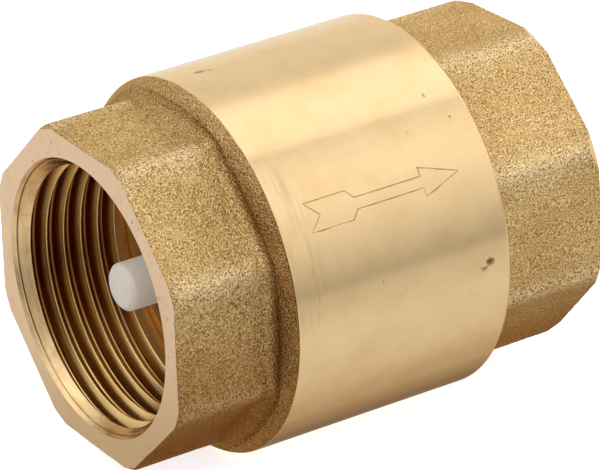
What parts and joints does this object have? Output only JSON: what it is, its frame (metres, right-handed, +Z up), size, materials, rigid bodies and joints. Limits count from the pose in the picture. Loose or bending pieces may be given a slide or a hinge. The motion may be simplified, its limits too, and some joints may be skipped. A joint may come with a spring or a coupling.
{
  "type": "check valve",
  "caption": "Inline spring check valve with octagonal threaded ends, a round barrel and a spring-loaded plastic poppet on a guided stem.",
  "frame": {"origin": "centre of the inlet's end face, on the flow axis", "axes": "+X along the flow, from inlet to outlet; +Z up, square to one flat of the inlet's octagon; +Y to the left, seen along the flow"},
  "size_m": [0.046, 0.0354, 0.0354],
  "materials": {
    "cast_brass": "shot-blasted casting with turned faces",
    "nitrile_rubber": "moulded, matt",
    "white_acetal": "moulded, satin",
    "stainless_steel": "drawn wire"
  },
  "bodies": {
    "valve_body": {"inlet_body": "cast_brass", "outlet_cap": "cast_brass", "joint_o_ring": "nitrile_rubber", "inlet_guide": "white_acetal", "outlet_guide": "white_acetal", "spring": "stainless_steel"},
    "poppet": {"poppet": "white_acetal", "seal_ring": "nitrile_rubber", "seal_retainer": "white_acetal"}
  },
  "joints": [
    {"name": "poppet_slide", "type": "slide", "parent": "valve_body", "child": "poppet", "axis": [1, 0, 0], "range_m": [0, 0.0047], "stiffness_N_per_m": 200, "springref_m": -0.005, "deforming": ["spring"]}
  ]
}
